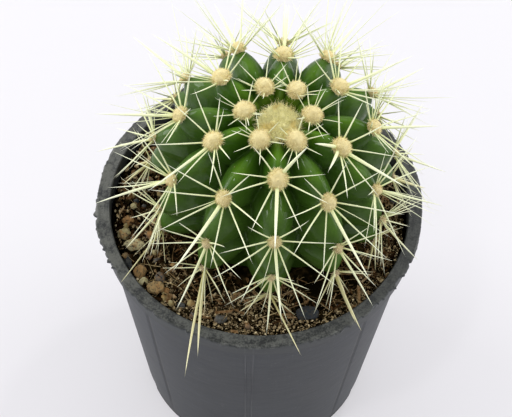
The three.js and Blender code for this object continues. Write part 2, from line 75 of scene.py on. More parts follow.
# Light: a very wide soft panel overhead and well behind, a smaller one at each side, two small lamps
# that make the glints on the waxy skin, and a dim room. Each has a place, a size and watts.
LIGHTS = [
    ("overhead", (-0.15, 0.95, 1.35), 2.2, 10.5),
    ("left_panel", (-1.3, 0.35, 0.6), 0.9, 13.0),
    ("right_panel", (1.3, 0.35, 0.6), 0.9, 10.0),
    ("front_left", (-0.24, -0.3, 0.95), 0.06, 0.95),
    ("back_right", (0.3, 0.35, 0.9), 0.06, 1.0),
]
ROOM_COLOUR = (0.95, 0.95, 1)
ROOM_STRENGTH = 0.62
for name, place, size, power in LIGHTS:
    light_data = bpy.data.lights.new(name, "AREA")
    light_data.shape = "SQUARE"
    light_data.size = size
    light_data.energy = power
    light = bpy.data.objects.new(name, light_data)
    light.location = place
    light.rotation_euler = (CAMERA_TARGET - Vector(place)).to_track_quat("-Z", "Y").to_euler()
    bpy.context.collection.objects.link(light)
world = bpy.data.worlds.new("room")
world.use_nodes = True
world.node_tree.nodes["Background"].inputs["Color"].default_value = (*ROOM_COLOUR, 1)
world.node_tree.nodes["Background"].inputs["Strength"].default_value = ROOM_STRENGTH
bpy.context.scene.world = world

# Floor: a plain pale sheet of paper under the pot, lit a little from below, as on a light table. It
# isn't part of the object.
FLOOR_SIZE = 6
PAPER = (0.42, 0.416, 0.432, 1)
PAPER_GLOW = (1, 0.98, 1, 1)
GLOW_STRENGTH = 0.38

# A mix node's sockets for colours share their names with others, so they go by number
MIX_SHARE, MIX_FIRST, MIX_SECOND, MIX_COLOUR = 0, 6, 7, 2


class Wire:
    """One output of a material's nodes, so that sums on it are written as Python expressions."""

    def __init__(self, tree, socket=None):
        self.tree = tree
        self.socket = socket

    def node(self, kind, settings=(), inputs=(), out=0):
        """A new node with its settings made first, then its sockets set or linked."""
        made = self.tree.nodes.new(kind)
        for name, value in dict(settings).items():
            if name == "stops":
                ramp = made.color_ramp
                while len(ramp.elements) < len(value):
                    ramp.elements.new(0.5)
                for element, (position, colour) in zip(ramp.elements, value):
                    element.position = position
                    element.color = (*colour, 1)
            else:
                setattr(made, name, value)
        for name, value in dict(inputs).items():
            if isinstance(value, Wire):
                self.tree.links.new(value.socket, made.inputs[name])
            else:
                made.inputs[name].default_value = value
        return Wire(self.tree, made.outputs[out])

    def maths(self, operation, *values):
        settings = {"operation": operation}
        return self.node("ShaderNodeMath", settings, dict(enumerate(values)))

    def __add__(self, other):
        return self.maths("ADD", self, other)

    def __sub__(self, other):
        return self.maths("SUBTRACT", self, other)

    def __rsub__(self, other):
        return self.maths("SUBTRACT", other, self)

    def __mul__(self, other):
        return self.maths("MULTIPLY", self, other)

    __radd__ = __add__
    __rmul__ = __mul__

    def between(self, low, high):
        """Goes smoothly from 0 to 1 as this value goes from low to high."""
        inputs = {"Value": self, "From Min": low, "From Max": high}
        return self.node("ShaderNodeMapRange", {"interpolation_type": "SMOOTHSTEP"}, inputs)

    def blend(self, first, second):
        """The first colour where this value is 0, and the second where it is 1."""
        first, second = [tint if isinstance(tint, Wire) else (*tint, 1) for tint in (first, second)]
        inputs = {MIX_SHARE: self, MIX_FIRST: first, MIX_SECOND: second}
        return self.node("ShaderNodeMix", {"data_type": "RGBA"}, inputs, out=MIX_COLOUR)

    def painted(self, *coats):
        """This colour under coats of others, each a mask and a colour, with the last one on top."""
        colour = self
        for mask, tint in coats:
            colour = mask.blend(colour, tint)
        return colour

    def noise(self, scale, detail=3.0, rough=0.55):
        inputs = {"Vector": self, "Scale": scale, "Detail": detail, "Roughness": rough}
        return self.node("ShaderNodeTexNoise", {}, inputs)

    def axis(self, name):
        return self.node("ShaderNodeSeparateXYZ", {}, {"Vector": self}, out=name)

    def vector(self, operation, inputs=(), out=0):
        return self.node("ShaderNodeVectorMath", {"operation": operation}, {0: self, **dict(inputs)}, out)

    def attribute(self, name):
        return self.node("ShaderNodeAttribute", {"attribute_name": name}, out="Fac")

    def bump(self, distance, strength):
        """A normal for this height, which runs from 0 to 1 over that distance in metres."""
        return self.node("ShaderNodeBump", {}, {"Height": self, "Distance": distance, "Strength": strength})


def new_material(name, constants):
    """A material, its shader with the constant sockets set, and a wire of object coordinates."""
    material = bpy.data.materials.new(name)
    material.use_nodes = True
    tree = material.node_tree
    shader = tree.nodes["Principled BSDF"]
    for socket, value in constants.items():
        shader.inputs[socket].default_value = value
    place = Wire(tree).node("ShaderNodeTexCoord", out="Object")
    return material, shader, place


def deselect_all():
    bpy.ops.object.select_all(action="DESELECT")


deselect_all()
bpy.ops.mesh.primitive_plane_add(size=FLOOR_SIZE)
floor = bpy.context.active_object
floor.name = "floor"
paper_constants = {
    "Base Color": PAPER,
    "Roughness": 0.9,
    "Emission Color": PAPER_GLOW,
    "Emission Strength": GLOW_STRENGTH,
}
floor.data.materials.append(new_material("pale_paper", paper_constants)[0])

# Pot: one thin moulding of dark slate-grey plastic. A round foot is drawn up into the tapered wall,
# stepped out for the collar and turned flat for the rim, whose trimmed edge is ragged and nicked.
FULL_TURN = 2 * math.pi
POT_HEIGHT = 105 * MM
BASE_RADIUS = 42.5 * MM
BASE_CORNER = 1.6 * MM
WALL_TAPER = 0.0975
WALL = 1.5 * MM
POT_FLOOR = 2 * MM
COLLAR_HEIGHT = 8.5 * MM
COLLAR_RADIUS = 53.5 * MM
RIM_RADIUS = 55 * MM
RIM_INNER_RADIUS = 50.4 * MM
RIM_EDGE = 1.4 * MM
SOFT_EDGE = 0.35 * MM
POT_COLUMNS = 540
WALL_ROWS = 14
GROOVE_TURNS = [45, 135, 225, 315]
GROOVE_WIDTH = 1.8 * MM
GROOVE_DEPTH = 0.22 * MM
GROOVE_FOOT = 9 * MM
SEAM_TURNS = [266.6, 269.4]
SEAM_WIDTH = 0.5 * MM
SEAM_HEIGHT = 0.22 * MM
LINE_COLUMNS = (-1.1, -0.7, 0.7, 1.1)
NOTCHES = 8
NOTCH_TURN = 22.5
NOTCH_SIZE = (7 * MM, 9 * MM, 7 * MM)
RIM_NICK = 0.34 * MM
TURNED_STRETCH = 0.006
RAGGED_STRETCHES = [(210, 15, 46), (318, 15, 42), (120, 120, 30)]
RIM_NIBS = [(187, 2.2), (326, 2.0), (301, -1.6), (245, -1.2), (20, 1.4)]
NIB_SHAPE = np.array([0.5, 1, 0.4])
BITES = (-1.6, -1.1, -0.6, 0.5, 0.8)
TRIM_SPREAD = 0.12
RAGGED_LIMITS = (-1.8, 2.2)
RIM_WAVE = 0.5 * MM
POT_CREASE = math.radians(32)


def activate(piece):
    deselect_all()
    piece.select_set(True)
    bpy.context.view_layer.objects.active = piece


def settle(piece, name, material, nodes=()):
    """Names a finished piece, gives it its material, and says what it rides on and stands for."""
    activate(piece)
    bpy.ops.object.transform_apply(location=True, rotation=True, scale=True)
    piece.name = name
    piece.data.name = name
    piece.data.materials.clear()
    piece.data.materials.append(material)
    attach(piece, "root")
    if nodes:
        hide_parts(*nodes)


def points_of(mesh):
    points = np.empty(len(mesh.vertices) * 3)
    mesh.vertices.foreach_get("co", points)
    return points.reshape(-1, 3)


def set_points(mesh, points):
    mesh.vertices.foreach_set("co", np.asarray(points).ravel())
    mesh.update()


def smoothstep(value, low, high):
    share = np.clip((value - low) / (high - low), 0, 1)
    return share * share * (3 - 2 * share)


def lerp(first, second, share):
    return first + (second - first) * share


def feed(shader, **wires):
    """Links wires to the shader, by the socket's name with _ for a space."""
    for name, wire in wires.items():
        wire.tree.links.new(wire.socket, shader.inputs[name.replace("_", " ")])


def wall_radius(z):
    return BASE_RADIUS + WALL_TAPER * z


def pot_steps():
    """Radius and height of each loop, from the foot up the outside and down the inside."""
    collar_foot = POT_HEIGHT - COLLAR_HEIGHT
    flange_foot = POT_HEIGHT - RIM_EDGE
    steps = [(wall_radius(BASE_CORNER * share), BASE_CORNER * share) for share in (0.4, 1)]
    for row in range(1, WALL_ROWS + 1):
        z = lerp(BASE_CORNER, collar_foot, row / WALL_ROWS)
        steps.append((wall_radius(z), z))
    steps += [
        (COLLAR_RADIUS - SOFT_EDGE, collar_foot + 0.3 * SOFT_EDGE),
        (COLLAR_RADIUS, collar_foot + 1.3 * SOFT_EDGE),
        (COLLAR_RADIUS + 0.6 * SOFT_EDGE, lerp(collar_foot, flange_foot, 0.6)),
        (COLLAR_RADIUS + SOFT_EDGE, flange_foot - 0.5 * SOFT_EDGE),
        (RIM_RADIUS - SOFT_EDGE, flange_foot),
        (RIM_RADIUS, flange_foot + SOFT_EDGE),
        (RIM_RADIUS, POT_HEIGHT - SOFT_EDGE),
        (RIM_RADIUS - SOFT_EDGE, POT_HEIGHT),
        (lerp(RIM_RADIUS, RIM_INNER_RADIUS, 0.5), POT_HEIGHT),
        (RIM_INNER_RADIUS + SOFT_EDGE, POT_HEIGHT),
        (RIM_INNER_RADIUS, POT_HEIGHT - SOFT_EDGE),
        (RIM_INNER_RADIUS, POT_HEIGHT - COLLAR_HEIGHT + MM),
        (wall_radius(POT_FLOOR) - WALL, POT_FLOOR),
    ]
    return steps


deselect_all()
foot_radius = BASE_RADIUS - BASE_CORNER
bpy.ops.mesh.primitive_circle_add(vertices=POT_COLUMNS, radius=foot_radius, fill_type="NGON")
pot = bpy.context.active_object
bpy.ops.object.mode_set(mode="EDIT")
radius, height = foot_radius, 0
for next_radius, next_height in pot_steps():
    rise = (0, 0, next_height - height)
    bpy.ops.mesh.extrude_region_move(TRANSFORM_OT_translate={"value": rise})
    grow = next_radius / radius
    bpy.ops.transform.resize(value=(grow, grow, 1), center_override=(0, 0, next_height))
    radius, height = next_radius, next_height
bpy.ops.mesh.select_all(action="SELECT")
bpy.ops.mesh.normals_make_consistent(inside=False)
bpy.ops.object.mode_set(mode="OBJECT")

# Columns are crowded round each moulding line, then pushed in for a groove and out for a seam
lines = [(math.radians(turn), GROOVE_WIDTH / 2, -GROOVE_DEPTH) for turn in GROOVE_TURNS]
lines += [(math.radians(turn), SEAM_WIDTH / 2, SEAM_HEIGHT) for turn in SEAM_TURNS]
points = points_of(pot.data)
turns = np.arctan2(points[:, 1], points[:, 0]) % FULL_TURN
column = np.rint(turns / FULL_TURN * POT_COLUMNS).astype(int) % POT_COLUMNS
column_turns = np.arange(POT_COLUMNS) * FULL_TURN / POT_COLUMNS
push = np.zeros(POT_COLUMNS)
for turn, half_width, depth in lines:
    nearest = np.argsort(np.abs((column_turns - turn + math.pi) % FULL_TURN - math.pi))[: len(LINE_COLUMNS)]
    side = half_width / BASE_RADIUS
    for index, offset in zip(sorted(nearest), LINE_COLUMNS):
        column_turns[index] = turn + offset * side
        push[index] = depth if abs(offset) < 1 else 0
reach = np.hypot(points[:, 0], points[:, 1])
turns = column_turns[column]
z = points[:, 2]
on_wall = (reach > wall_radius(z) - 0.1 * MM) & (z < POT_HEIGHT - COLLAR_HEIGHT - MM) & (z > BASE_CORNER / 2)
on_groove = on_wall & (z > GROOVE_FOOT)
reach = np.where(on_groove | (on_wall & (push[column] > 0)), reach + push[column], reach)

# The rim's outer edge was trimmed: ragged along two stretches, with small nicks and nibs elsewhere
nicks = random.Random(31)
ragged = np.array([nicks.gauss(0, TRIM_SPREAD) for _ in range(POT_COLUMNS)])
for turn, spread, bites in RAGGED_STRETCHES:
    for _ in range(bites):
        start = round((turn + nicks.gauss(0, spread)) / 360 * POT_COLUMNS)
        bite = nicks.choice(BITES)
        for step in range(nicks.choice((1, 2, 2, 3))):
            ragged[(start + step) % POT_COLUMNS] += bite
for turn, size in RIM_NIBS:
    start = round(turn / 360 * POT_COLUMNS)
    ragged[[start - 1, start, start + 1]] += NIB_SHAPE * size
on_edge = smoothstep(reach, COLLAR_RADIUS + 0.9 * MM, RIM_RADIUS - 0.3 * MM)
on_edge = on_edge * (z > POT_HEIGHT - 1.1 * RIM_EDGE)
reach = reach + on_edge * RIM_NICK * np.clip(ragged[column], *RAGGED_LIMITS)
reach = reach + on_edge * RIM_WAVE * np.sin(3 * turns + 0.7) * np.sin(7 * turns)
points = np.stack([reach * np.cos(turns), reach * np.sin(turns), z], axis=1)
set_points(pot.data, points)

for index in range(NOTCHES):
    turn = math.radians(NOTCH_TURN) + index * FULL_TURN / NOTCHES
    bpy.ops.mesh.primitive_cube_add(size=1)
    cutter = bpy.context.active_object
    cutter.scale = NOTCH_SIZE
    cutter.rotation_euler = (0, 0, turn)
    cutter.location = (BASE_RADIUS * math.cos(turn), BASE_RADIUS * math.sin(turn), NOTCH_SIZE[2] / 2 - MM)
    bpy.ops.object.transform_apply(location=True, rotation=True, scale=True)
    activate(pot)
    cut = pot.modifiers.new("notch", "BOOLEAN")
    cut.operation = "DIFFERENCE"
    cut.solver = "EXACT"
    cut.object = cutter
    bpy.ops.object.modifier_apply(modifier=cut.name)
    bpy.data.objects.remove(cutter)
activate(pot)
bpy.ops.object.shade_smooth_by_angle(angle=POT_CREASE)


def near_line(flat_place, turn, far, near):
    """1 along an upright line of the wall, and 0 from a little way aside."""
    square = (-math.sin(math.radians(turn)), math.cos(math.radians(turn)), 0)
    aside = flat_place.vector("DOT_PRODUCT", {1: square}, out="Value")
    return aside.maths("ABSOLUTE", aside).between(far, near)


plastic, shader, place = new_material("slate_grey_plastic", {"IOR": 1.46, "Specular IOR Level": 0.35})
flat_place = place.vector("MULTIPLY", {1: (1, 1, 0)})
height_mm = place.axis("Z") * (1 / MM)
reach = flat_place.vector("LENGTH", out="Value")
spoke = flat_place.vector("NORMALIZE")
turned = spoke.vector("SCALE", {"Scale": TURNED_STRETCH})
lathe = place.node("ShaderNodeCombineXYZ", {}, {"X": reach, "Z": height_mm * MM})
lathe = turned.vector("ADD", {1: lathe})
cloud = place.noise(38, 5)
dapple = place.noise(240, 4, 0.7)
draw_lines = spoke.noise(60, 3)
scuffs = lathe.noise(800, 3, 0.7)
specks = place.noise(1900, 2)
lies_flat = place.node("ShaderNodeNewGeometry", out="Normal").axis("Z").between(0.5, 0.9)
on_collar = height_mm.between(94, 99)
# painted shade: a dark band painted on the wall just under the collar's step
shade_under_collar = height_mm.between(93.2, 95.8) * height_mm.between(97.2, 96.4)
on_rim = lies_flat * on_collar
seams = [near_line(flat_place, turn, SEAM_WIDTH, 0.2 * SEAM_WIDTH) for turn in SEAM_TURNS]
grooves = [near_line(flat_place, turn, 0.5 * GROOVE_WIDTH, 0.2 * GROOVE_WIDTH) for turn in GROOVE_TURNS]
# painted shade: low on the wall, the cut faces of the drain notches are painted near black, as if the pot's
# dark inside showed through them
notch_shade = (height_mm * WALL_TAPER + BASE_RADIUS / MM - reach * (1 / MM)).between(0.15, 0.5)
dusty_left = place.axis("X").between(-0.02, -0.05)
# the rim is painted darker towards the right
darker_right = place.axis("X").between(0.015, 0.045)
worn = reach.between(RIM_RADIUS - 0.9 * MM, RIM_RADIUS - 0.2 * MM) * (scuffs + dapple).between(0.95, 1.2)
wall_tone = (cloud * 0.5 + draw_lines * 0.2 + dapple * 0.3).between(0.34, 0.66)
rim_tone = (scuffs * 0.25 + dapple * 0.4 + specks * 0.35).between(0.4, 0.58)
colour = wall_tone.blend((0.019, 0.0225, 0.027), (0.047, 0.052, 0.058)).painted(
    # painted shade: the wall is painted darker over its lowest few millimetres, at the foot's corner
    (height_mm.between(4.5, 1.5) * 0.85, (0.006, 0.006, 0.007)),
    *[(seam * cloud.between(0.3, 0.6) * 0.5, (0.11, 0.115, 0.12)) for seam in seams],
    # painted shade: the four moulded grooves are painted darker than the wall beside them
    *[(groove * height_mm.between(94, 90) * 0.5, (0.012, 0.013, 0.015)) for groove in grooves],
    # painted shade under the collar
    (shade_under_collar * 0.75, (0.012, 0.013, 0.015)),
    (on_collar * (0.3 + cloud * 0.5), (0.055, 0.06, 0.058)),
    (on_rim, rim_tone.blend((0.02, 0.022, 0.022), (0.1, 0.104, 0.094))),
    (darker_right * on_rim * 0.5, (0.022, 0.024, 0.023)),
    (dusty_left * on_rim * dapple.between(0.35, 0.6) * 0.4, (0.13, 0.13, 0.11)),
    (worn * lies_flat * 0.5, (0.22, 0.22, 0.21)),
    ((dapple * 0.5 + specks * 0.5).between(0.6, 0.7) * 0.35, (0.2, 0.2, 0.19)),
    ((specks * 0.6 + cloud * 0.4).between(0.36, 0.3) * 0.6, (0.02, 0.02, 0.022)),
    # painted shade in the drain notches
    (notch_shade * height_mm.between(8, 7), (0.004, 0.004, 0.005)),
)
feed(
    shader,
    Base_Color=colour,
    Roughness=wall_tone * 0.1 + scuffs * 0.14 + 0.4,
    Normal=(cloud * 0.35 + dapple * 0.3 + scuffs * 0.2 + specks * 0.15).bump(0.3 * MM, 0.5),
)
settle(pot, "nursery_pot", plastic, ["pot"])

# Cactus body: one ball of fluted green flesh with a sunken crown. Its twelve ribs are rows of long
# knobs, each with a felt pad at its lower end, and the pads stand on alternate ribs in rings. Its sizes,
# and those of the pads, spines and wool, are in millimetres in the plant's own leaning frame.
BODY_CENTRE = Vector((3.7 * MM, -0.4 * MM, 128 * MM))
BODY_LEAN = Vector((0.033, -0.119, 1)).normalized()
BODY_RADIUS = 39.3
CROWN_SINK = 10.9
CROWN_SPREAD = math.radians(19.6)
CROWN_FLOOR = 27
CROWN_EDGE = math.radians(13.2)
LOWER_FULLNESS = 3.6
FULLNESS_SPAN = (math.radians(85), math.radians(130))
ROOT_RADIUS = 33
ROOT_SPAN = (math.radians(138), math.pi)
RIBS = 12
RIB_START = 3
RIB_PITCH = 360 / RIBS
RIB_CROWDING = 4
RINGS = 8
RING_FIRST = 17.3
RING_STEP = 16.8
RING_CLOSING = 0.5
RIB_GROOVE_DEPTH = 9.2
GROOVE_SPAN = (CROWN_EDGE, math.radians(42))
KEEL_ROUNDNESS = 0.5
KEEL_DEPTH = 11
KEEL_SLOPE = 1.35
NOTCH_DEPTH = 7.6
BURIED_DEPTH = 4.2
SHOWN_SPAN = (-3, 6)
KNOB_HEIGHT = 8
KNOB_MIN_WIDTH = 5.4
KNOB_UP_REACH = 0.86
KNOB_SWELL = 0.16
KNOB_CHIN = 0.27
SWELL_GRAIN = 9 * MM
SWELL_DEPTH = 0.9 * MM
COLUMNS_PER_RIB = 28
BODY_ROWS = 168
SOIL_LEVEL = 98.7
SOIL_FRONT_RISE = 3.2
SOIL_WAVES = [(0.31, 0.12, 1.3, 0.4), (-0.15, 0.33, 0.4, 0.3), (0.4, 0.6, 2.1, 0.2)]

plant_turn = np.array(Vector((0, 0, 1)).rotation_difference(BODY_LEAN).to_matrix())


def ring_angle(ring):
    return math.radians(RING_FIRST + RING_STEP * ring - RING_CLOSING * ring * ring)


def rib_angle(rib):
    crowded = RIB_CROWDING * (1 - math.cos(math.radians(RIB_PITCH * (rib + 1))))
    return math.radians(RIB_START + RIB_PITCH * rib - crowded)


def summit_radius(polar):
    sink = CROWN_SINK * np.exp(-((polar / CROWN_SPREAD) ** 2))
    fullness = LOWER_FULLNESS * smoothstep(polar, *FULLNESS_SPAN)
    root = smoothstep(polar, *ROOT_SPAN)
    return lerp(BODY_RADIUS - sink + fullness, ROOT_RADIUS + BURIED_DEPTH, root)


def direction(azimuth, polar):
    flat = np.sin(polar)
    return np.stack([flat * np.cos(azimuth), flat * np.sin(azimuth), np.cos(polar)], axis=-1)


def to_world(points):
    """Plant coordinates in millimetres to the model's in metres."""
    return points @ plant_turn.T * MM + np.array(BODY_CENTRE)


areoles = [
    (ring, rib, rib_angle(rib), ring_angle(ring)) for ring in range(RINGS) for rib in range(ring % 2, RIBS, 2)
]


def keel(share):
    """How far a keeled rib falls away: 0 on its rounded crest and 1 at its foot."""
    foot = math.hypot(1, KEEL_ROUNDNESS) - KEEL_ROUNDNESS
    return (np.hypot(share, KEEL_ROUNDNESS) - KEEL_ROUNDNESS) / foot


def knob_radius(azimuth, polar):
    """Radius of the highest knob over each place, long towards the crown and with a steep chin, and
    how near each place is to the middle of that knob's back."""
    total = np.zeros_like(polar)
    back = np.zeros_like(polar)
    for ring, rib, turn, areole_polar in areoles:
        along = polar - areole_polar
        span = areole_polar - ring_angle(ring - 2)
        up = min(KNOB_UP_REACH * span, areole_polar - CROWN_EDGE)
        t = np.where(along < 0, along / up, along / (KNOB_CHIN * span))
        aside = np.abs((azimuth - turn + math.pi) % FULL_TURN - math.pi)
        across = aside * BODY_RADIUS * np.sin((polar + areole_polar) / 2)
        half = max(KNOB_MIN_WIDTH, BODY_RADIUS * math.sin(areole_polar) * math.radians(RIB_PITCH / 2))
        half = half * (1 + KNOB_SWELL * np.sin(np.pi * np.clip(-t, 0, 1)))
        side = np.minimum(KEEL_DEPTH, KEEL_SLOPE * half) * keel(across / half)
        end = KNOB_HEIGHT * np.where(t < 0, t**2, 1 - np.sqrt(np.maximum(1 - t**2, 0)))
        knob = np.where(np.abs(t) < 1, float(summit_radius(areole_polar)) - side - end, 0)
        hump = np.exp(-(((t + 0.5) / 0.3) ** 2) - (across / (0.5 * half)) ** 2)
        back = np.where(knob > total, hump, back)
        total = np.maximum(total, knob)
    return total, back


def mark(mesh, name, values):
    """Gives each point of a mesh a number that its material reads."""
    mesh.attributes.new(name, "FLOAT", "POINT").data.foreach_set("value", values)


def roughen(piece, name, grain, depth):
    """Pushes a surface in and out by cloudy noise of this grain."""
    clouds = bpy.data.textures.new(name, "CLOUDS")
    clouds.noise_scale = grain
    uneven = piece.modifiers.new(name, "DISPLACE")
    uneven.texture = clouds
    uneven.texture_coords = "LOCAL"
    uneven.strength = depth
    activate(piece)
    bpy.ops.object.modifier_apply(modifier=uneven.name)


rib_starts = np.array([rib_angle(rib) for rib in range(RIBS + 1)])


def groove_share(azimuth):
    """0 on a rib's crest and 1 in the groove between two ribs."""
    turned = (azimuth - rib_starts[0]) % FULL_TURN + rib_starts[0]
    into = np.interp(turned, rib_starts, np.arange(RIBS + 1)) % 1
    return 1 - np.abs(2 * into - 1)


def body_radius(azimuth, polar):
    """Radius of the skin, how far each place stands from groove to summit, and the knobs' backs."""
    summit = summit_radius(polar)
    buried = summit - BURIED_DEPTH
    depth = RIB_GROOVE_DEPTH * smoothstep(polar, *GROOVE_SPAN)
    rib = summit - NOTCH_DEPTH - depth * keel(groove_share(azimuth))
    knob, back = knob_radius(azimuth, polar)
    ribbed = np.maximum(rib, knob)
    low = to_world(direction(azimuth, polar) * buried[..., None])[..., 2] / MM - SOIL_LEVEL
    shown = smoothstep(low, *SHOWN_SPAN)
    skin = lerp(buried, ribbed, shown)
    hollow = smoothstep(polar, CROWN_EDGE - 0.02, CROWN_EDGE + 0.03)
    skin = lerp(CROWN_FLOOR / np.maximum(np.cos(polar), 0.2), skin, hollow)
    return skin, np.clip(1 - (summit - skin) / KEEL_DEPTH, 0, 1), np.where(knob > rib, back, 0)


deselect_all()
columns = COLUMNS_PER_RIB * RIBS
bpy.ops.mesh.primitive_uv_sphere_add(segments=columns, ring_count=BODY_ROWS, radius=1)
body = bpy.context.active_object
points = points_of(body.data)
polar = np.arccos(np.clip(points[:, 2], -1, 1))
column = np.rint((np.arctan2(points[:, 1], points[:, 0]) % FULL_TURN) / FULL_TURN * columns) % columns
azimuth = np.interp(column / COLUMNS_PER_RIB, np.arange(RIBS + 1), rib_starts)
radius, crest_share, back = body_radius(azimuth, polar)
set_points(body.data, to_world(direction(azimuth, polar) * radius[:, None]))
for name, values in (("crest", crest_share), ("back", back), ("polar", polar / math.pi)):
    mark(body.data, name, values)
bpy.ops.object.shade_smooth()
roughen(body, "flesh_swell", SWELL_GRAIN, SWELL_DEPTH)

skin_constants = {"IOR": 1.4, "Specular IOR Level": 0.06, "Coat Roughness": 0.07, "Coat IOR": 1.45}
skin, shader, place = new_material("waxy_green_skin", skin_constants)
crest_mask = place.attribute("crest")
knob_back = place.attribute("back")
age = place.attribute("polar")
mottle = place.noise(75, 5, 0.6)
dapple = place.noise(330, 4, 0.65)
fine = place.noise(1100, 3)
young = 1 - age.between(0.08, 0.42)
# The skin's colour runs from deep in the grooves, through flank, to high on the crests: partly the skin's own
# tone, partly painted shade that darkens the grooves.
height = crest_mask + (mottle - 0.5) * 0.7 + (dapple - 0.5) * 0.45
deep = young.blend((0.038, 0.084, 0.01), (0.025, 0.07, 0.005))
flank = young.blend((0.042, 0.092, 0.011), (0.031, 0.088, 0.005))
high = young.blend((0.044, 0.094, 0.011), (0.04, 0.106, 0.006))
# painted highlight: a bright yellow-green patch on the middle of each knob's back, where it faces up into the
# light
knob_highlight = (knob_back * (0.5 + mottle * 0.9) + (dapple - 0.5) * 0.3).between(0.25, 1.0)
cork = place.noise(1300, 2).between(0.68, 0.75) * place.noise(60, 2).between(0.58, 0.68)
colour = height.between(0.1, 0.6).blend(deep, flank).painted(
    (height.between(0.5, 0.95), high),
    (knob_highlight * 0.48, young.blend((0.062, 0.14, 0.011), (0.12, 0.26, 0.008))),
    ((dapple * 0.5 + mottle * 0.5).between(0.48, 0.62) * 0.35, (0.07, 0.128, 0.034)),
    (age.between(0.12, 0.07) * 0.5, (0.14, 0.24, 0.02)),
    (cork, (0.3, 0.24, 0.12)),
)
feed(
    shader,
    Base_Color=colour,
    Roughness=fine * 0.14 + mottle * 0.25 + 0.32,
    Coat_Weight=mottle.between(0.4, 0.62) * 0.4 + 0.18,
    Normal=(fine * 0.25 + dapple * 0.4 + mottle * 0.35).bump(0.6 * MM, 0.6),
)
settle(body, "cactus_flesh", skin, ["cactus_body"])

# Felt pads: a ball of short dense hairs sits at the lower end of each knob and hides the spines' feet.
# The youngest are full and cream-coloured, and the oldest, near the soil, small, worn and grey-brown.
PAD_RADII = [3.4, 3.3, 2.75, 2.15, 1.7, 1.4, 1.2, 1.1]
PAD_LIFT = 0.3
PAD_SHAPE = np.array([1.1, 0.98, 0.95])
PAD_RISE = 0.12
PAD_CORE = 0.82
PAD_HAIRS = [1550, 1500, 1100, 760, 520, 380, 290, 220]
HAIR_LENGTH = 1.12
HAIR_THICKNESS = 0.065
HAIR_FALL = 0.4
BRISTLE_EVERY = 6
BRISTLE_THICKNESS = 0.12
BRISTLE_LENGTH = 1.35
FRAYED_RING = 5
FRAYED_SHARE = 0.16
FRAYED_LENGTH = 1.9


def needle(sides, rings):
    """A slim closed spine of length 1 along +Z and base radius 1: even for most of its length,
    then drawn out to a point. Returns its points, faces and each point's share of the length."""
    stations = np.linspace(0, 1, rings + 1)[:-1]
    widths = (1 - stations**4) * (1 - 0.35 * stations)
    spokes = np.arange(sides) * FULL_TURN / sides
    loops = [
        np.stack([w * np.cos(spokes), w * np.sin(spokes), np.full(sides, s)], axis=1)
        for s, w in zip(stations, widths)
    ]
    points = np.concatenate(loops + [[[0, 0, 1.0]]])
    faces = [tuple(reversed(range(sides)))]
    for ring in range(rings - 1):
        for side in range(sides):
            a, b = ring * sides + side, ring * sides + (side + 1) % sides
            faces.append((a, b, b + sides, a + sides))
    last = (rings - 1) * sides
    faces += [(last + side, last + (side + 1) % sides, rings * sides) for side in range(sides)]
    return points, faces, points[:, 2].copy()


def gathered(name, bits, attributes):
    """One object from many small closed shapes, each (points, faces, values of each attribute)."""
    all_points, all_faces, offset = [], [], 0
    for points, faces, _ in bits:
        all_points.append(points)
        all_faces += [tuple(corner + offset for corner in face) for face in faces]
        offset += len(points)
    mesh = bpy.data.meshes.new(name)
    mesh.from_pydata(np.concatenate(all_points).tolist(), [], all_faces)
    for index, attribute in enumerate(attributes):
        values = np.concatenate([np.broadcast_to(bit[2][index], len(bit[0])) for bit in bits])
        mark(mesh, attribute, values.astype(float))
    piece = bpy.data.objects.new(name, mesh)
    bpy.context.collection.objects.link(piece)
    return piece


def across_of(way):
    """Two unit vectors square to a direction and to each other."""
    helper = np.array([0, 0, 1.0]) if abs(way[2]) < 0.9 else np.array([1.0, 0, 0])
    first = np.cross(helper, way)
    first /= np.linalg.norm(first)
    return first, np.cross(way, first)


def spine_points(shape, root, tip, thick, bow, twist):
    """A needle laid from root to tip, bowed aside by a share of its length."""
    way = tip - root
    length = np.linalg.norm(way)
    way /= length
    first, second = across_of(way)
    aside = math.cos(twist) * first + math.sin(twist) * second
    points = shape[0]
    share = points[:, 2:3]
    curve = root + share * length * way + (4 * share * (1 - share)) * bow * length * aside
    return curve + thick * (points[:, 0:1] * first + points[:, 1:2] * second)


def areole_axes(azimuth, polar):
    """Down the rib, aside and out of the skin, in plant coordinates."""
    out = direction(azimuth, polar)
    side = np.array([-math.sin(azimuth), math.cos(azimuth), 0])
    return np.stack([np.cross(side, out), side, out])


def random_way(seed):
    way = np.array([seed.gauss(0, 1), seed.gauss(0, 1), seed.gauss(0, 1)])
    return way / np.linalg.norm(way)


def spoke_at(turn):
    """A level unit vector at this turn."""
    return np.array([math.cos(turn), math.sin(turn), 0])


def primitive_shape(add, **settings):
    """Points and faces of a Blender primitive, which is then removed."""
    deselect_all()
    add(**settings)
    made = bpy.context.active_object
    shape = points_of(made.data), [tuple(face.vertices) for face in made.data.polygons]
    bpy.data.objects.remove(made)
    return shape


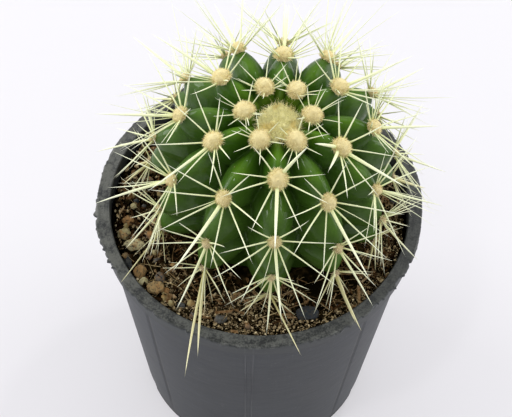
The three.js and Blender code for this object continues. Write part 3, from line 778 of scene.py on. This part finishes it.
hair = needle(3, 1)
ball = bpy.ops.mesh.primitive_ico_sphere_add
cushion_points, cushion_faces = primitive_shape(ball, subdivisions=3, radius=1)
draw = random.Random(7)
felt, shader, place = new_material("cream_felt", {"Sheen Weight": 0.15, "Sheen Roughness": 0.5})
hair_tone = place.attribute("tone")
old = place.attribute("age")
clump = place.noise(320, 3)
tone = (hair_tone * 0.8 + clump * 0.45).between(0.15, 1.02)
cream = tone.blend((0.58, 0.45, 0.18), (0.94, 0.87, 0.5))
brown = tone.blend((0.19, 0.13, 0.07), (0.72, 0.6, 0.4))
colour = (old + (clump - 0.5) * 0.25).between(0.2, 1.05).blend(cream, brown)
feed(shader, Base_Color=colour, Roughness=0.82 + clump * 0.16, Normal=place.noise(900, 3).bump(0.2 * MM, 0.6))
for ring in range(RINGS):
    bits = []
    age = ring / (RINGS - 1)
    radius = PAD_RADII[ring]
    for _, rib, azimuth, polar in [areole for areole in areoles if areole[0] == ring]:
        axes = areole_axes(azimuth, polar)
        middle = axes[2] * (float(summit_radius(polar)) + PAD_LIFT + PAD_RISE * radius)
        shape = PAD_SHAPE * radius * (1 + 0.06 * np.array([draw.uniform(-1, 1) for _ in range(3)]))
        bumps = [noise.noise(Vector(point) * 2.3 + Vector((ring, rib, 0))) for point in cushion_points]
        core = cushion_points * shape * (PAD_CORE + 0.12 * np.array(bumps))[:, None]
        bits.append((to_world(middle + core @ axes), cushion_faces, (age, 0.35)))
        for index in range(PAD_HAIRS[ring]):
            outward = random_way(draw)
            outward[2] = abs(outward[2]) - 0.25
            length = HAIR_LENGTH * (0.45 + 0.55 * radius / PAD_RADII[0]) * draw.uniform(0.6, 1.1)
            hair_age, shade, thick = age, draw.random(), HAIR_THICKNESS
            if index % BRISTLE_EVERY == 0:
                length *= BRISTLE_LENGTH
                shade, thick = draw.choice((0.0, 0.9, 1.0)), BRISTLE_THICKNESS
            if ring >= FRAYED_RING and draw.random() < FRAYED_SHARE:
                length *= FRAYED_LENGTH
                hair_age, shade = 0.1, 1.0
            root = outward * shape * (PAD_CORE - 0.06)
            lay = outward + 0.35 * random_way(draw) + np.array([HAIR_FALL, 0, 0])
            tip = root + lay / np.linalg.norm(lay) * length
            strand = spine_points(hair, middle + root @ axes, middle + tip @ axes, thick, 0, 0)
            bits.append((to_world(strand), hair[1], (hair_age, shade)))
    pads = gathered(f"felt_pads_{ring + 1}", bits, ("age", "tone"))
    settle(pads, f"felt_pads_{ring + 1}", felt)

# Spines: hard straw-coloured needles that grow out from under the felt, the strong central ones
# standing out and down, and the finer radial ones spread over the skin. Each follows the plain needle
# of the model that it stands for, and slim extra ones grow beside them, often as close pairs.
TIP_REACH = 1.3
POINT_STEPS = 50
CENTRAL_FROM = 0.6
RADIAL_THICKNESS = [0.2, 0.27, 0.28, 0.28, 0.26, 0.24, 0.22, 0.2]
CENTRAL_THICKNESS = [0.2, 0.56, 0.56, 0.5, 0.44, 0.42, 0.55, 0.36]
EXTRA_THICKNESS = 0.16
FIRST_GOLDEN_RING = 6
GOLDEN_AGE = 1.2
EXTRAS = [3, 3, 6, 8, 8, 7, 5, 3]
FRONT_EXTRAS = 0.15
BEHIND_EXTRAS = 0.35
BACK_EXTRAS = [1, 6, 9, 6, 3, 2, 1, 0]
BACK_FAN = math.radians(95)
SPINE_BOW = (-0.02, 0.025)
EXTRA_BOW = 0.02
SPINE_ROOT = 0.72
CENTRAL_ROOT = 0.5
radial_shape = needle(6, 8)
central_shape = needle(8, 9)
extra_shape = needle(4, 6)


def needles_of(node_name, seat, radius):
    """Tip and base radius of each needle of a CAD node, in plant coordinates."""
    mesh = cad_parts[node_name].data
    points = (points_of(mesh) - np.array(BODY_CENTRE)) @ plant_turn / MM
    corners = np.array([tuple(face.vertices) for face in mesh.polygons])
    keys = np.rint(points * POINT_STEPS).astype(int)
    far = np.linalg.norm(points - seat, axis=1) > TIP_REACH * radius
    found = []
    for key in sorted({tuple(key) for key in keys[far]}):
        same = np.all(keys == key, axis=1)
        tip = points[same][0]
        ends = points[np.unique(corners[same[corners].any(axis=1)])]
        ends = ends[np.linalg.norm(ends - tip, axis=1) > 0.1]
        middle = ends.mean(axis=0)
        spread = np.linalg.norm(ends - middle, axis=1).max()
        slope = spread / np.linalg.norm(tip - middle)
        found.append((tip, slope * np.linalg.norm(tip - seat)))
    return found


def extra_spine(seat, axes, radius, age, turn, lean, length):
    """One slim spine from the pad's edge, by its turn round the pad and its lean from upright."""
    spoke = spoke_at(turn)
    root = spoke * SPINE_ROOT * radius + np.array([0, 0, 0.1 * radius])
    end = root + length * (spoke * math.sin(lean) + np.array([0, 0, math.cos(lean)]))
    thick = EXTRA_THICKNESS * draw.uniform(0.75, 1.25)
    strand = spine_points(extra_shape, seat + root @ axes, seat + end @ axes, thick, EXTRA_BOW, turn)
    return to_world(strand), extra_shape[1], (age, extra_shape[2])


straw, shader, place = new_material("straw_spines", {"IOR": 1.5})
along = place.attribute("along")
old = place.attribute("age")
grain = place.noise(1500, 2)
patch = place.noise(160, 2)
pale = along.blend((0.76, 0.81, 0.4), (0.96, 0.98, 0.78))
worn = along.blend((0.42, 0.37, 0.1), (0.86, 0.82, 0.5))
colour = (old * 0.8 + (patch - 0.5) * 0.6).between(0.3, 1.05).blend(pale, worn)
colour = colour.painted((grain.between(0.45, 0.75) * 0.25, (0.66, 0.64, 0.36)))
feed(shader, Base_Color=colour, Roughness=0.4 + grain * 0.18, Normal=grain.bump(0.08 * MM, 0.4))
for ring, rib, azimuth, polar in areoles:
    axes = areole_axes(azimuth, polar)
    radius = PAD_RADII[ring]
    seat = axes[2] * (float(summit_radius(polar)) + PAD_LIFT)
    node_name = f"spines_ring{ring + 1}_rib{rib + 1:02d}"
    tips = needles_of(node_name, seat, radius)
    age = ring / (RINGS - 1)
    bits = []
    for tip, base in tips:
        local = axes @ (tip - seat)
        spoke = np.array([local[0], local[1], 0]) / max(math.hypot(local[0], local[1]), 1e-6)
        central = base > CENTRAL_FROM and ring > 0
        root = spoke * radius * (CENTRAL_ROOT if central else SPINE_ROOT) + np.array([0, 0, 0.1 * radius])
        shape = central_shape if central else radial_shape
        thick = (CENTRAL_THICKNESS if central else RADIAL_THICKNESS)[ring] * draw.uniform(0.88, 1.1)
        bow = draw.uniform(*SPINE_BOW)
        strand = spine_points(shape, seat + root @ axes, tip, thick, bow, draw.random() * FULL_TURN)
        golden = GOLDEN_AGE if ring >= FIRST_GOLDEN_RING and central else age
        bits.append((to_world(strand), shape[1], (golden, shape[2])))
    reach = np.median([np.linalg.norm(tip - seat) for tip, _ in tips])
    turned_away = lerp(FRONT_EXTRAS, 1, float(smoothstep(math.sin(azimuth), -0.95, -0.2)))
    turned_away = lerp(turned_away, BEHIND_EXTRAS, float(smoothstep(math.sin(azimuth), 0.4, 0.9)))
    for _ in range(round(EXTRAS[ring] * turned_away)):
        tip, base = tips[draw.randrange(len(tips))]
        local = axes @ (tip - seat)
        turn = math.atan2(local[1], local[0]) + draw.choice((-1, 1)) * draw.uniform(0.08, 0.3)
        lean = math.acos(local[2] / np.linalg.norm(local)) + draw.uniform(-0.12, 0.2)
        length = min(np.linalg.norm(local), 1.2 * reach) * draw.uniform(0.55, 1.0)
        bits.append(extra_spine(seat, axes, radius, age, turn, lean, length))
    for _ in range(round(BACK_EXTRAS[ring] * max(0, math.sin(azimuth)))):
        turn = draw.uniform(-BACK_FAN, BACK_FAN)
        length = reach * draw.uniform(0.85, 1.3)
        bits.append(extra_spine(seat, axes, radius, age, turn, draw.uniform(0.3, 1.0), length))
    spines = gathered(node_name + "_fine", bits, ("age", "along"))
    activate(spines)
    bpy.ops.object.shade_smooth()
    settle(spines, node_name + "_fine", straw, [node_name])

# Crown wool: pale yellow tufts of fine curly hair that fill the sunken crown between the youngest pads
# and stray out over their edges.
WOOL_CENTRE = np.array([0.5, -1.0, 0])
WOOL_RADIUS = 6.8
WOOL_FOOT = 27.3
WOOL_HEIGHT = 4.4
TUFTS = 56
STRANDS = 85
STRAND_THICKNESS = 0.06
STRAND_BOW = 0.3
GOLDEN_ANGLE = 2.399963
strand_shape = needle(3, 4)
wool, shader, place = new_material("crown_wool", {"Sheen Weight": 0.2, "Sheen Roughness": 0.5})
lock = place.noise(420, 3)
strand_tone = place.attribute("tone")
tone = (lock * 0.5 + strand_tone * 0.5).between(0.15, 0.7)
golden = place.noise(190, 2).between(0.48, 0.62) * 0.65
colour = tone.blend((0.72, 0.67, 0.22), (0.98, 0.94, 0.56)).painted((golden, (0.88, 0.72, 0.24)))
feed(shader, Base_Color=colour, Roughness=0.85 + lock * 0.12, Normal=lock.bump(0.2 * MM, 0.5))
bits = []
for tuft_index in range(TUFTS):
    turn = tuft_index * GOLDEN_ANGLE
    out_share = math.sqrt((tuft_index + 0.5) / TUFTS)
    middle = WOOL_CENTRE + spoke_at(turn) * out_share * (WOOL_RADIUS - 0.9)
    middle[2] = WOOL_FOOT + WOOL_HEIGHT * (0.66 - 0.3 * out_share**2) + draw.uniform(-0.5, 0.5)
    size = draw.uniform(0.8, 1.35)
    shape = middle + cushion_points * size * np.array([1, 1, 0.8])
    bits.append((to_world(shape), cushion_faces, (0.9,)))
    for _ in range(STRANDS):
        way = random_way(draw)
        way[2] = abs(way[2])
        root = middle + way * size * 0.75
        lay = way + 0.9 * random_way(draw) * np.array([1, 1, 0.6])
        tip = root + lay / np.linalg.norm(lay) * draw.uniform(0.7, 1.7 + 1.6 * out_share)
        bow = draw.uniform(-STRAND_BOW, STRAND_BOW)
        strand = spine_points(strand_shape, root, tip, STRAND_THICKNESS, bow, draw.random() * FULL_TURN)
        bits.append((to_world(strand), strand_shape[1], (0.3 + 0.7 * draw.random(),)))
crown = gathered("crown_tufts", bits, ("tone",))
settle(crown, "crown_tufts", wool, ["crown_wool"])

# Soil: gritty potting mix. A cylinder's top is inset in loops and raised to the lie of the soil, and
# loose grains, bark, fibres and pebbles lie on it: coarse at the left, fine in front, fibrous right.
SOIL_SIDES = 180
SOIL_LOOPS = 46
SOIL_GAP = 0.3 * MM
SOIL_SUNK = 0.6 * MM
LUMP_SIZE = 2.2 * MM
LUMP_HEIGHT = 0.8 * MM
soil_edge = min(RIM_INNER_RADIUS, wall_radius(SOIL_LEVEL * MM) - WALL) - SOIL_GAP


def soil_top(x, y):
    """Height of the soil over a place, all in metres."""
    x, y = x / MM, y / MM
    top = SOIL_LEVEL + SOIL_FRONT_RISE * smoothstep(-y, 22, 50)
    for along_x, along_y, phase, rise in SOIL_WAVES:
        top = top + rise * np.sin(along_x * x + along_y * y + phase)
    return top * MM


deselect_all()
bpy.ops.mesh.primitive_cylinder_add(
    vertices=SOIL_SIDES, radius=soil_edge, depth=SOIL_LEVEL * MM, location=(0, 0, SOIL_LEVEL * MM / 2)
)
soil = bpy.context.active_object
bpy.ops.object.transform_apply(location=True)
for face in soil.data.polygons:
    face.select = face.normal.z > 0.9
bpy.ops.object.mode_set(mode="EDIT")
for _ in range(SOIL_LOOPS):
    bpy.ops.mesh.inset(thickness=soil_edge / (SOIL_LOOPS + 2))
bpy.ops.object.mode_set(mode="OBJECT")
points = points_of(soil.data)
top = points[:, 2] > SOIL_LEVEL * MM / 2
rough = np.array([noise.fractal(Vector(point) / LUMP_SIZE, 0.6, 2.1, 4) for point in points])
surface = soil_top(points[:, 0], points[:, 1]) + rough * LUMP_HEIGHT - SOIL_SUNK
points[:, 2] = np.where(top, surface, POT_FLOOR + SOIL_GAP)
inner_foot = (wall_radius(POT_FLOOR) - WALL - SOIL_GAP) / soil_edge
points[:, :2] = np.where(top[:, None], points[:, :2], points[:, :2] * inner_foot)
set_points(soil.data, points)
bpy.ops.object.shade_smooth()
mix, shader, place = new_material("potting_mix", {"IOR": 1.4, "Specular IOR Level": 0.0})
lumps = place.noise(420, 5)
crumbs = place.node("ShaderNodeTexVoronoi", {}, {"Vector": place, "Scale": 900})
colour = lumps.between(0.45, 0.75).blend((0.004, 0.003, 0.001), (0.034, 0.022, 0.008))
bumpy = (lumps + crumbs * 0.6).bump(0.6 * MM, 0.8)
feed(shader, Base_Color=colour, Roughness=0.85 + lumps * 0.15, Normal=bumpy)
settle(soil, "potting_soil", mix, ["soil"])

# Loose soil: the grains, crumbs, bark, fibres and small pebbles that cover the mix, each laid by a
# seeded draw, and a few pebbles whose place the photograph shows. The seven larger stones are kept
# clear of the loose bits, so that they show.
STONES = 7
STONE_MARGIN = 1.1
PLANT_SHADE = 25 * MM
FINE_GRAINS = 12500
FINEST_GRAINS = 15000
CRUMBS = 3300
PEBBLES = 230
BARK_CHIPS = 1150
BARK_STRIPS = 620
FIBRES = 1500
GRIT_STOPS = [
    (0.0, (0.004, 0.003, 0.001)),
    (0.33, (0.036, 0.025, 0.01)),
    (0.55, (0.25, 0.18, 0.095)),
    (0.78, (0.54, 0.42, 0.23)),
    (1.0, (0.86, 0.74, 0.48)),
]
BARK_STOPS = [
    (0.0, (0.006, 0.003, 0.001)),
    (0.42, (0.034, 0.017, 0.007)),
    (0.62, (0.15, 0.078, 0.03)),
    (0.82, (0.3, 0.2, 0.1)),
    (1.0, (0.52, 0.43, 0.27)),
]
FIBRE_STOPS = [
    (0.0, (0.035, 0.022, 0.012)),
    (0.4, (0.15, 0.09, 0.04)),
    (0.7, (0.44, 0.31, 0.14)),
    (1.0, (0.76, 0.64, 0.37)),
]
PEBBLE_STOPS = [
    (0.0, (0.025, 0.03, 0.036)),
    (0.25, (0.1, 0.1, 0.09)),
    (0.5, (0.34, 0.18, 0.065)),
    (0.75, (0.36, 0.3, 0.14)),
    (1.0, (0.6, 0.56, 0.34)),
]
PEBBLE_CREASE = math.radians(40)
KNOWN_PEBBLES = [
    ((-37.5, -29.2), (1.9, 1.5, 1.2), 1.0),
    ((-32.0, -27.6), (1.8, 2.1, 1.3), 0.26),
    ((-43.0, -21.2), (1.6, 3.0, 1.1), 0.02),
    ((-42.9, 0.6), (1.3, 1.1, 0.9), 0.95),
    ((-43.8, 4.6), (1.5, 1.2, 1.0), 0.75),
    ((-36.0, -19.6), (1.4, 1.1, 0.9), 0.4),
    ((-24.5, -38.6), (1.5, 1.1, 0.9), 0.12),
    ((26.0, -36.4), (1.6, 1.2, 0.8), 0.06),
]
stone_boxes = [[Vector(corner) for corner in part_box(f"stone_{index + 1}")] for index in range(STONES)]
scatter = random.Random(23)


def stops_material(name, stops, grain, bump):
    """A rough material whose colour follows each bit's tone, with finer grain over it."""
    material, shader, place = new_material(name, {"Specular IOR Level": 0.0})
    speck = place.noise(grain, 4, 0.65)
    shade = place.attribute("tone") * 0.8 + speck * 0.8 - 0.32
    colour = place.node("ShaderNodeValToRGB", {"stops": stops}, {"Fac": shade})
    colour = colour.painted((speck.between(0.58, 0.75) * 0.35, stops[0][1]))
    feed(shader, Base_Color=colour, Roughness=0.72 + speck * 0.25, Normal=speck.bump(bump, 0.7))
    return material


def loose_place(clear):
    """A random place on the soil, round the plant and inside the pot."""
    turn = scatter.random() * FULL_TURN
    reach = math.sqrt(scatter.uniform(PLANT_SHADE**2, (soil_edge - clear) ** 2))
    return reach * math.cos(turn), reach * math.sin(turn)


def half_sizes(size, wide, high):
    return [size, size * scatter.uniform(*wide), size * scatter.uniform(*high)]


def open_ground(x, y):
    """False where one of the larger stones lies."""
    for low, high in stone_boxes:
        across = (2 * x - low.x - high.x) / (high.x - low.x)
        along = (2 * y - low.y - high.y) / (high.y - low.y)
        if across * across + along * along < STONE_MARGIN:
            return False
    return True


def share_at(value, low, high, least):
    """Chance of finding a thing at a place: least below low, and 1 above high."""
    return lerp(least, 1, float(smoothstep(value, low, high)))


def laid(shape, x, y, lift, sizes, tilt, ragged, tone):
    """A loose bit of three half sizes in millimetres, turned at random, less so with a low tilt."""
    spin = Matrix.Rotation(scatter.random() * FULL_TURN, 3, "Z")
    tip_x = Matrix.Rotation(scatter.gauss(0, tilt), 3, "X")
    tip_y = Matrix.Rotation(scatter.gauss(0, tilt), 3, "Y")
    turn = np.array(spin @ tip_x @ tip_y) @ np.diag(sizes) * MM
    points = shape[0] * np.array([[1 + ragged * scatter.uniform(-1, 1)] for _ in shape[0]])
    place = np.array([x, y, float(soil_top(x, y)) + lift * MM])
    return place + points @ turn.T, shape[1], (tone,)


def right_and_rear(x, y, least):
    """Chance of a fibrous bit: best at the right, and poor in the fine soil along the front."""
    return share_at(x, -20, 20, least) * share_at(y, -46, -34, 0.4)


def in_front(x, y, least):
    """Chance of a fine grain: best along the front, and poor among the coarse bits at the left."""
    return share_at(-y, 0, 34, least) * share_at(x, -42, -24, 0.45)


def scattered(name, count, clear, chance, one_bit, material):
    """A piece of many bits, each made by one_bit at a place kept with the chance there."""
    bits = []
    for _ in range(count):
        x, y = loose_place(clear * MM)
        if scatter.random() < chance(x / MM, y / MM) and open_ground(x, y):
            bits.append(one_bit(x, y))
    piece = gathered(name, [bit for bit in bits if bit], ("tone",))
    settle(piece, name, material)
    return piece


grain_shape = primitive_shape(bpy.ops.mesh.primitive_uv_sphere_add, segments=4, ring_count=2, radius=1)
crumb_shape = primitive_shape(ball, subdivisions=1, radius=1)
pebble_shape = primitive_shape(ball, subdivisions=2, radius=1)
chip_shape = primitive_shape(bpy.ops.mesh.primitive_cube_add, size=2)
fibre_shape = needle(4, 6)


def finest_grain(x, y):
    size = scatter.uniform(0.13, 0.3)
    sizes = half_sizes(size, (0.6, 1), (0.5, 1))
    return laid(grain_shape, x, y, scatter.uniform(-0.2, 0.9), sizes, 1.2, 0.2, scatter.random() ** 0.9)


def fine_grain(x, y):
    size = scatter.uniform(0.17, 0.4)
    sizes = half_sizes(size, (0.6, 1), (0.5, 0.9))
    return laid(chip_shape, x, y, scatter.uniform(-0.5, 0.8), sizes, 1.2, 0.35, scatter.random())


def crumb(x, y):
    size = scatter.uniform(0.35, 0.95)
    sizes = half_sizes(size, (0.5, 0.9), (0.4, 0.8))
    return laid(crumb_shape, x, y, scatter.uniform(-0.3, 1.1), sizes, 1.2, 0.3, scatter.random() ** 1.6)


def bark_chip(x, y):
    length = scatter.uniform(0.45, 1.3) * (1 + 0.35 * share_at(-x / MM, 10, 30, 0))
    sizes = [length, length * scatter.uniform(0.3, 0.7), scatter.uniform(0.12, 0.4)]
    return laid(chip_shape, x, y, scatter.uniform(0, 1.3), sizes, 0.6, 0.35, scatter.random() ** 1.7)


def bark_strip(x, y):
    length = scatter.uniform(1.2, 3.2)
    if math.hypot(x, y) + length * MM > soil_edge:
        return None
    sizes = [length, scatter.uniform(0.14, 0.45), scatter.uniform(0.1, 0.25)]
    tone = 0.35 + 0.6 * scatter.random()
    return laid(chip_shape, x, y, scatter.uniform(0.4, 1.7), sizes, 0.22, 0.25, tone)


def fibre(x, y):
    turn = scatter.random() * FULL_TURN
    length = scatter.uniform(4, 13) * MM
    root = np.array([x, y, float(soil_top(x, y)) + scatter.uniform(0.3, 1.5) * MM])
    tip = root + length * spoke_at(turn)
    if math.hypot(tip[0], tip[1]) > soil_edge - MM:
        return None
    tip[2] = float(soil_top(tip[0], tip[1])) + scatter.uniform(0.4, 2.1) * MM
    thick = scatter.uniform(0.06, 0.15) * MM
    strand = spine_points(fibre_shape, root, tip, thick, scatter.uniform(-0.16, 0.16), scatter.random())
    return strand, fibre_shape[1], (0.2 + 0.8 * scatter.random(),)


def small_pebble(x, y):
    size = scatter.uniform(0.5, 1.6)
    sizes = half_sizes(size, (0.65, 0.95), (0.5, 0.8))
    lift = 0.35 * size + scatter.uniform(-0.2, 0.4)
    return laid(pebble_shape, x, y, lift, sizes, 0.4, 0.16, 0.9 * scatter.random())


grit = stops_material("soil_grit", GRIT_STOPS, 1500, 0.15 * MM)
bark = stops_material("bark", BARK_STOPS, 1300, 0.4 * MM)
straw_fibre = stops_material("dry_fibre", FIBRE_STOPS, 800, 0.1 * MM)
gravel = stops_material("gravel", PEBBLE_STOPS, 700, 0.25 * MM)
scattered("soil_dust", FINEST_GRAINS, 0.7, lambda x, y: in_front(x, y, 0.2), finest_grain, grit)
scattered("soil_grains", FINE_GRAINS, 0.8, lambda x, y: in_front(x, y, 0.45), fine_grain, grit)
scattered("soil_crumbs", CRUMBS, 1.2, lambda x, y: share_at(y, -45, -10, 0.22), crumb, grit)
scattered("bark_chips", BARK_CHIPS, 1.8, lambda x, y: share_at(y, -46, -24, 0.14), bark_chip, bark)
scattered("bark_strips", BARK_STRIPS, 1, lambda x, y: right_and_rear(x, y, 0.2), bark_strip, bark)
scattered("soil_fibres", FIBRES, 3, lambda x, y: right_and_rear(x, y, 0.4), fibre, straw_fibre)
pebbles = scattered(
    "small_pebbles", PEBBLES, 1.8, lambda x, y: share_at(-x, -5, 30, 0.1), small_pebble, gravel
)
known = [
    laid(pebble_shape, x * MM, y * MM, 0.5 * sizes[2], sizes, 0.1, 0.14, tone)
    for (x, y), sizes, tone in KNOWN_PEBBLES
]
known_pebbles = gathered("known_pebbles", known, ("tone",))
settle(known_pebbles, "known_pebbles", gravel)
for piece in (pebbles, known_pebbles):
    activate(piece)
    bpy.ops.object.shade_smooth_by_angle(angle=PEBBLE_CREASE)

# Stones: seven larger chips of stone that lie half sunk in the soil, tan and mottled brown at the left
# and a flat dark slate one at the front. Each takes the place and size of the plain stone of the model.
STONE_TONES = [0.84, 0.9, 0.6, 0.54, 0.66, 0.0, 0.22]
STONE_CUTS = 11
CUT_DEPTHS = (0.62, 0.86)
STONE_VOXEL = 0.25 * MM
DENTS = ((1.6 * MM, 0.65 * MM), (0.45 * MM, 0.25 * MM))
stone, shader, place = new_material("rough_stone", {"Specular IOR Level": 0.25})
speck = place.noise(1100, 4, 0.7)
patch = place.noise(380, 3, 0.6)
shade = place.attribute("tone") * 0.9 + speck * 0.4 - 0.16
colour = place.node("ShaderNodeValToRGB", {"stops": PEBBLE_STOPS}, {"Fac": shade}).painted(
    (patch.between(0.5, 0.62) * place.attribute("tone") * 0.85, (0.32, 0.17, 0.06)),
    (speck.between(0.5, 0.62) * 0.85, (0.055, 0.045, 0.03)),
)
pitted = (speck * 0.6 + patch * 0.4).bump(0.4 * MM, 0.9)
feed(shader, Base_Color=colour, Roughness=0.75 + speck * 0.2, Normal=pitted)
for index, ((low, high), tone_value) in enumerate(zip(stone_boxes, STONE_TONES)):
    node_name = f"stone_{index + 1}"
    deselect_all()
    bpy.ops.mesh.primitive_ico_sphere_add(subdivisions=3, radius=1)
    pebble = bpy.context.active_object
    bpy.ops.object.mode_set(mode="EDIT")
    for _ in range(STONE_CUTS):
        bpy.ops.mesh.select_all(action="SELECT")
        way = Vector(random_way(scatter))
        bpy.ops.mesh.bisect(
            plane_co=way * scatter.uniform(*CUT_DEPTHS), plane_no=way, use_fill=True, clear_outer=True
        )
    bpy.ops.object.mode_set(mode="OBJECT")
    points = points_of(pebble.data)
    lowest, highest = points.min(axis=0), points.max(axis=0)
    share = (points - lowest) / (highest - lowest)
    set_points(pebble.data, lerp(np.array(low), np.array(high), share))
    skinned = pebble.modifiers.new("even_skin", "REMESH")
    skinned.mode = "VOXEL"
    skinned.voxel_size = STONE_VOXEL
    bpy.ops.object.modifier_apply(modifier=skinned.name)
    for grain, depth in DENTS:
        roughen(pebble, node_name + "_dents", grain, depth)
    bpy.ops.object.shade_smooth()
    mark(pebble.data, "tone", np.full(len(pebble.data.vertices), tone_value))
    settle(pebble, node_name + "_fine", stone, [node_name])
